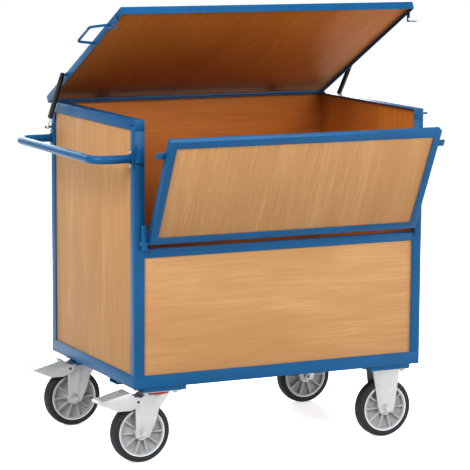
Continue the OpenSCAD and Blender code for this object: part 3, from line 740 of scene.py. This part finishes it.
class CART_OT_struts(CartOperator):
    """Gas struts"""

    bl_idname = "cart.struts"
    bl_label = "Gas struts"

    def execute(self, context):
        for side in ("left", "right"):
            eased(side + "_strut_tube", "strut", ROD_EDGE)
            eased(side + "_strut_rod", "chrome", BOLT_EDGE)
        return {"FINISHED"}


class CART_OT_flap(CartOperator):
    """Front flap with its rim, lugs and pivot pins"""

    bl_idname = "cart.flap"
    bl_label = "Front flap"

    def execute(self, context):
        size = context.scene.cart_sizes
        eased("flap_frame", "coat", size.steel_edge)
        back = (0, math.cos(FLAP_TILT), math.sin(FLAP_TILT))
        finish = board_finish("flap_board", (FLAP_TILT, 0, 0), back, one_tone=True)
        eased("flap_board", finish, size.board_edge)
        eased("flap_lugs", "coat", size.sheet_edge)
        eased("flap_pins", "zinc", AXLE_EDGE)
        return {"FINISHED"}


class CART_OT_castors(CartOperator):
    """Castor plates, forks, pedals, axles and fasteners"""

    bl_idname = "cart.castors"
    bl_label = "Castors"

    def execute(self, context):
        size = context.scene.cart_sizes
        for node in ("swivel_top_plates", "fixed_forks", "front_swivel_fork", "rear_swivel_fork"):
            eased(node, "zinc", size.sheet_edge)
        pedals = ("front_brake_pedal", "rear_brake_pedal")
        for node in (*pedals, "kingpins", "castor_bolts", "castor_nuts"):
            eased(node, "zinc", ROD_EDGE)
        for node in ("front_swivel_axle", "rear_swivel_axle", "fixed_axles"):
            eased(node, "zinc", AXLE_EDGE)
        eased("swivel_rings", "seal", SEAL_EDGE)
        for place in ("front", "rear"):
            self.pivot_shade_discs(place)
        return {"FINISHED"}

    def pivot_shade_discs(self, place):
        """Dark discs on the ends of a pedal's hollow pivot: painted shade that stands for the dark inside of the
        hollow.
        """
        node = place + "_brake_pedal"
        low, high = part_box(node)
        pivot = Vector(JOINTS[place + "_pedal_press"]["pos_m"])
        # Black discs in the tyre finish: painted shade in the pivot's open ends.
        shade_disc_profile = [(0.1, 0.7), (3.4, 0.7), (4.6, 0.3), (4.8, -0.4), (0.1, -0.4)]
        bm = bmesh.new()
        for face, sign in ((low.y, -1), (high.y, 1)):
            profile = [(r * MM, sign * y * MM) for r, y in shade_disc_profile]
            lathe(bm, profile, (pivot.x, face, pivot.z), (0, 1, 0), 32)
        new_piece(place + "_pivot_caps", closed_up(bm), "tyre", BODY_OF[node])


class CART_OT_wheels(CartOperator):
    """Wheel centres and tyres"""

    bl_idname = "cart.wheels"
    bl_label = "Wheels"

    def tyre(self, place):
        """Tyre with a crowned tread, a mould line, rounded shoulders and a stepped side wall."""
        node = place + "_tyre"
        low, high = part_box(node)
        centre = (low + high) / 2
        outer = (high.x - low.x) / 2
        half = (high.y - low.y) / 2
        inner = (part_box(place + "_rim")[1].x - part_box(place + "_rim")[0].x) / 2
        side = [
            (outer, 0.3 * MM), (outer - 0.35 * MM, 0.6 * MM), (outer - 0.5 * MM, half - 14 * MM),
            (outer - 1.2 * MM, half - 9 * MM), (outer - 3.4 * MM, half - 4.5 * MM),
            (outer - 6.5 * MM, half - 1.7 * MM), (outer - 9.0 * MM, half - 0.6 * MM),
            (outer - 9.8 * MM, half - 1.3 * MM), (outer - 10.8 * MM, half - 1.2 * MM),
            (outer - 11.4 * MM, half - 0.2 * MM), (inner + 5.0 * MM, half),
            (inner + 2.6 * MM, half - 0.5 * MM), (inner + 1.3 * MM, half - 1.6 * MM),
            (inner + 0.1 * MM, half - 2.6 * MM),
        ]
        profile = [(r, -y) for r, y in reversed(side)] + side
        bm = bmesh.new()
        lathe(bm, profile, centre, (0, 1, 0), 128)
        new_piece(node + "_shaped", closed_up(bm), "tyre", BODY_OF[node], (node,))

    def rim_ring(self, place):
        """Bright lip round each side of the wheel centre, and the grey ring round its bearing."""
        node = place + "_rim"
        low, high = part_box(node)
        centre = (low + high) / 2
        radius = (high.x - low.x) / 2
        half = (high.y - low.y) / 2
        bm = bmesh.new()
        for sign in (-1, 1):
            lip = [
                (radius - 0.2 * MM, half - 1.0 * MM), (radius - 0.4 * MM, half + 1.1 * MM),
                (radius - 1.2 * MM, half + 1.6 * MM), (radius - 2.6 * MM, half + 1.4 * MM),
                (radius - 3.6 * MM, half + 0.4 * MM), (radius - 3.8 * MM, half - 1.0 * MM),
            ]
            lathe(bm, [(r, sign * y) for r, y in lip], centre, (0, 1, 0), 96)
            collar = [
                (24.4 * MM, half - 0.6 * MM), (24.0 * MM, half + 1.2 * MM),
                (22.8 * MM, half + 1.7 * MM), (18.4 * MM, half + 1.7 * MM),
                (17.2 * MM, half + 1.0 * MM), (17.0 * MM, half - 0.6 * MM),
            ]
            lathe(bm, [(r, sign * y) for r, y in collar], centre, (0, 1, 0), 64)
        new_piece(place + "_rim_lips", closed_up(bm), "rim_lip", BODY_OF[node])

    def execute(self, context):
        size = context.scene.cart_sizes
        for place in ("front_left", "rear_left", "front_right", "rear_right"):
            eased(place + "_rim", "rim", size.plastic_edge)
            self.tyre(place)
            self.rim_ring(place)
        return {"FINISHED"}


class CART_OT_welds(CartOperator):
    """Weld beads where brackets, tubes and studs meet the frame"""

    bl_idname = "cart.welds"
    bl_label = "Welds"

    def execute(self, context):
        bead = context.scene.cart_sizes.weld
        self.on_frame(bead)
        self.on_lid(bead)
        self.on_flap(bead)
        return {"FINISHED"}

    def upright_pair(self, bm, box, y, bead, seed):
        """Two upright beads at the sides of a bracket that stands on a face at y."""
        low, high = box
        for count, x in enumerate((low.x, high.x)):
            weld_bead(bm, [(x, y, low.z + 3 * MM), (x, y, high.z - 3 * MM)], bead, seed + count)

    def on_frame(self, bead):
        """Beads on the frame; each kind starts its seeds at its own number."""
        bm = bmesh.new()
        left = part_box("front_posts")[0].x
        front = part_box("front_posts")[0].y
        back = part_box("rear_posts")[1].y
        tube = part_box("push_handle")
        tube_r = (tube[1].z - tube[0].z) / 2
        for seed, (low, high) in enumerate(islands("handle_flanges")):
            middle = (low + high) / 2
            round_tube = ring_path((low.x, middle.y, middle.z), (1, 0, 0), tube_r + 0.4 * bead)
            weld_bead(bm, round_tube, bead, seed, True)
            inner = high.y if middle.y < 0 else low.y
            upright = [(left, inner, low.z + 3 * MM), (left, inner, high.z - 3 * MM)]
            weld_bead(bm, upright, bead, 10 + seed)
            for z in (low.z, high.z):
                level = [(left, low.y + 3 * MM, z), (left, high.y - 3 * MM, z)]
                weld_bead(bm, level, bead, 20 + seed)
        for seed, box in enumerate(islands("flap_guides") + islands("flap_catches")):
            self.upright_pair(bm, box, front, bead, 30 + 3 * seed)
        for seed, (low, high) in enumerate(islands("hinge_brackets")):
            for x in (low.x, high.x):
                upright = [(x, back, low.z + 2 * MM), (x, back, high.z - 2 * MM)]
                weld_bead(bm, upright, 0.7 * bead, 60 + seed)
        for seed, (low, high) in enumerate(islands("latch_pins")):
            middle = (low + high) / 2
            face = high.x if middle.x < 0 else low.x
            radius = (high.z - low.z) / 2
            around = ring_path((face, middle.y, middle.z), (1, 0, 0), radius + 0.3 * bead, 12)
            weld_bead(bm, around, 0.6 * bead, 80 + seed, True)
        for seed, (low, high) in enumerate(islands("castor_pads")):
            outer = low.y if low.y < 0 else high.y
            along = [(low.x + 8 * MM, outer, high.z), (high.x - 8 * MM, outer, high.z)]
            weld_bead(bm, along, bead, 90 + seed)
            end = high.x if low.x < 0 else low.x
            across = [(end, low.y + 8 * MM, high.z), (end, high.y - 8 * MM, high.z)]
            weld_bead(bm, across, bead, 95 + seed)
        low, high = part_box("deck_end_rails")
        x, y = low.x + 0.5 * bead, (low.y + high.y) / 2
        weld_bead(bm, [(x, y, low.z + MM), (x, y, high.z - MM)], 0.6 * bead, 99)
        new_piece("frame_welds", closed_up(bm), "coat", "cart_frame")

    def on_lid(self, bead):
        """Beads round the two feet of the lid's handle."""
        bm = bmesh.new()
        mesh = NODES["lid_handle"].data
        root = max(v.co.x for v in mesh.vertices)
        ends = [v.co.copy() for v in mesh.vertices if v.co.x > root - 0.1 * MM]
        split = sum((p.y for p in ends), 0.0) / len(ends)
        feet = ([p for p in ends if p.y < split], [p for p in ends if p.y >= split])
        for seed, group in enumerate(feet):
            centre = sum(group, Vector()) / len(group)
            radius = max((p - centre).length for p in group)
            around = ring_path(centre, (1, 0, 0), radius + 0.3 * bead, 16)
            weld_bead(bm, around, 0.7 * bead, 110 + seed, True)
        new_piece("lid_welds", closed_up(bm), "coat", "lid")

    def on_flap(self, bead):
        """Beads round the lugs where they leave the flap's rim, in the flap's tilted plane."""
        bm = bmesh.new()
        left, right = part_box("flap_frame")[0].x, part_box("flap_frame")[1].x
        tilt = Vector((0, -math.sin(FLAP_TILT), math.cos(FLAP_TILT)))
        through = Vector((0, math.cos(FLAP_TILT), math.sin(FLAP_TILT)))
        reach = 9 * MM
        for seed, (low, high) in enumerate(islands("flap_lugs")):
            if high.z - low.z > 30 * MM or high.x - low.x < 20 * MM:
                continue
            middle = (low + high) / 2
            x = left if middle.x < 0 else right
            for sign in (-1, 1):
                face = Vector((x, middle.y, middle.z)) + through * (sign * 3 * MM)
                weld_bead(bm, [face - tilt * reach, face + tilt * reach], 0.7 * bead, 120 + seed)
        new_piece("flap_welds", closed_up(bm), "coat", "flap")


class CART_OT_stage(CartOperator):
    """Floor, soft lights, surroundings and camera"""

    bl_idname = "cart.stage"
    bl_label = "Stage"

    def light(self, name, place, aim, size, power):
        """A white area light at a place, turned to a point."""
        data = bpy.data.lights.new(name, "AREA")
        data.shape = "RECTANGLE"
        data.size, data.size_y = size
        data.energy = power
        lamp = bpy.data.objects.new(name, data)
        lamp.location = place
        lamp.rotation_euler = (Vector(aim) - Vector(place)).to_track_quat("-Z", "Y").to_euler()
        lamp.visible_camera = False
        bpy.context.scene.collection.objects.link(lamp)

    def lay_floor(self, context, stage):
        """White floor that lights nothing, so that the cart's undersides stay dark."""
        bm = bmesh.new()
        bmesh.ops.create_grid(bm, x_segments=8, y_segments=8, size=FLOOR_REACH)
        mesh = bpy.data.meshes.new("studio_floor")
        bm.to_mesh(mesh)
        bm.free()
        mesh.materials.append(studio_floor("studio_floor", stage.floor, stage.glow))
        floor = bpy.data.objects.new("studio_floor", mesh)
        context.scene.collection.objects.link(floor)
        floor.visible_diffuse = False

    def surround(self, context, stage):
        """Even light from all round, which the camera sees as a white backdrop."""
        world = bpy.data.worlds.new("studio")
        world.use_nodes = True
        nodes = world.node_tree.nodes
        background = nodes["Background"]
        background.inputs["Color"].default_value = (1, 1, 1, 1)
        seen = nodes.new("ShaderNodeLightPath")
        level = nodes.new("ShaderNodeMath")
        level.operation = "MULTIPLY_ADD"
        level.inputs[1].default_value = stage.backdrop - stage.sky
        level.inputs[2].default_value = stage.sky
        world.node_tree.links.new(seen.outputs["Is Camera Ray"], level.inputs[0])
        world.node_tree.links.new(level.outputs[0], background.inputs["Strength"])
        context.scene.world = world

    def light_up(self, stage):
        """Soft lights; the strongest stands at the left."""
        middle = (0, 0, 0.6)
        self.light("key_softbox", (-4.2, -2.6, 3.6), middle, (3.0, 2.6), stage.key)
        self.light("front_softbox", (1.4, -5.2, 2.8), middle, (3.2, 2.4), stage.front)
        self.light("top_softbox", (0.2, 0.6, 4.8), (0, 0, 0), (4.0, 4.0), stage.top)
        self.light("back_softbox", (0.8, 4.4, 1.9), (0, 0.3, 1.15), (4.0, 1.6), stage.back)
        self.light("right_softbox", (3.3, -1.3, 0.9), (0.35, 0.1, 1.3), (1.2, 1.4), stage.right)

    def set_camera(self, context, stage):
        """Camera at its place, turned by yaw, pitch and roll."""
        data = bpy.data.cameras.new("camera")
        data.sensor_width = SENSOR_WIDTH
        data.lens = stage.lens
        data.clip_end = VIEW_REACH
        camera = bpy.data.objects.new("camera", data)
        context.scene.collection.objects.link(camera)
        forward = Vector((
            math.sin(stage.yaw) * math.cos(stage.pitch),
            math.cos(stage.yaw) * math.cos(stage.pitch),
            -math.sin(stage.pitch),
        ))
        level = Vector((math.cos(stage.yaw), -math.sin(stage.yaw), 0))
        upright = level.cross(forward)
        right = level * math.cos(stage.roll) + upright * math.sin(stage.roll)
        up = upright * math.cos(stage.roll) - level * math.sin(stage.roll)
        turn = Matrix((right, up, -forward)).transposed().to_4x4()
        turn.translation = Vector(stage.stand)
        camera.matrix_world = turn
        context.scene.camera = camera

    def execute(self, context):
        stage = context.scene.cart_stage
        self.lay_floor(context, stage)
        self.surround(context, stage)
        self.light_up(stage)
        view = context.scene.view_settings
        view.view_transform = "Standard"
        view.look = "None"
        view.gamma = stage.gamma
        self.set_camera(context, stage)
        return {"FINISHED"}


class CART_PT_panel(bpy.types.Panel):
    """Lists the cart's operators and sizes"""

    bl_idname = "CART_PT_panel"
    bl_label = "Box cart"
    bl_space_type = "VIEW_3D"
    bl_region_type = "UI"
    bl_category = "Box cart"

    def draw(self, context):
        layout = self.layout
        scene = context.scene
        for group in (scene.cart_sizes, scene.cart_look, scene.cart_stage):
            box = layout.box()
            for key in group.bl_rna.properties.keys():
                if key not in ("rna_type", "name"):
                    box.prop(group, key)
        for operator in OPERATORS:
            layout.operator(operator.bl_idname)


OPERATORS = (
    CART_OT_stage,
    CART_OT_deck,
    CART_OT_box_frame,
    CART_OT_boards,
    CART_OT_push_handle,
    CART_OT_lid,
    CART_OT_struts,
    CART_OT_flap,
    CART_OT_castors,
    CART_OT_wheels,
    CART_OT_welds,
)
GROUPS = {"cart_sizes": CartSizes, "cart_look": CartLook, "cart_stage": CartStage}
CLASSES = (*GROUPS.values(), *OPERATORS, CART_PT_panel)


def register():
    for item in CLASSES:
        bpy.utils.register_class(item)
    for name, group in GROUPS.items():
        setattr(bpy.types.Scene, name, bpy.props.PointerProperty(type=group))


def unregister():
    for name in GROUPS:
        delattr(bpy.types.Scene, name)
    for item in reversed(CLASSES):
        bpy.utils.unregister_class(item)


def main():
    register()
    for operator in OPERATORS:
        area, name = operator.bl_idname.split(".")
        getattr(getattr(bpy.ops, area), name)()


if __name__ == "__main__":
    main()
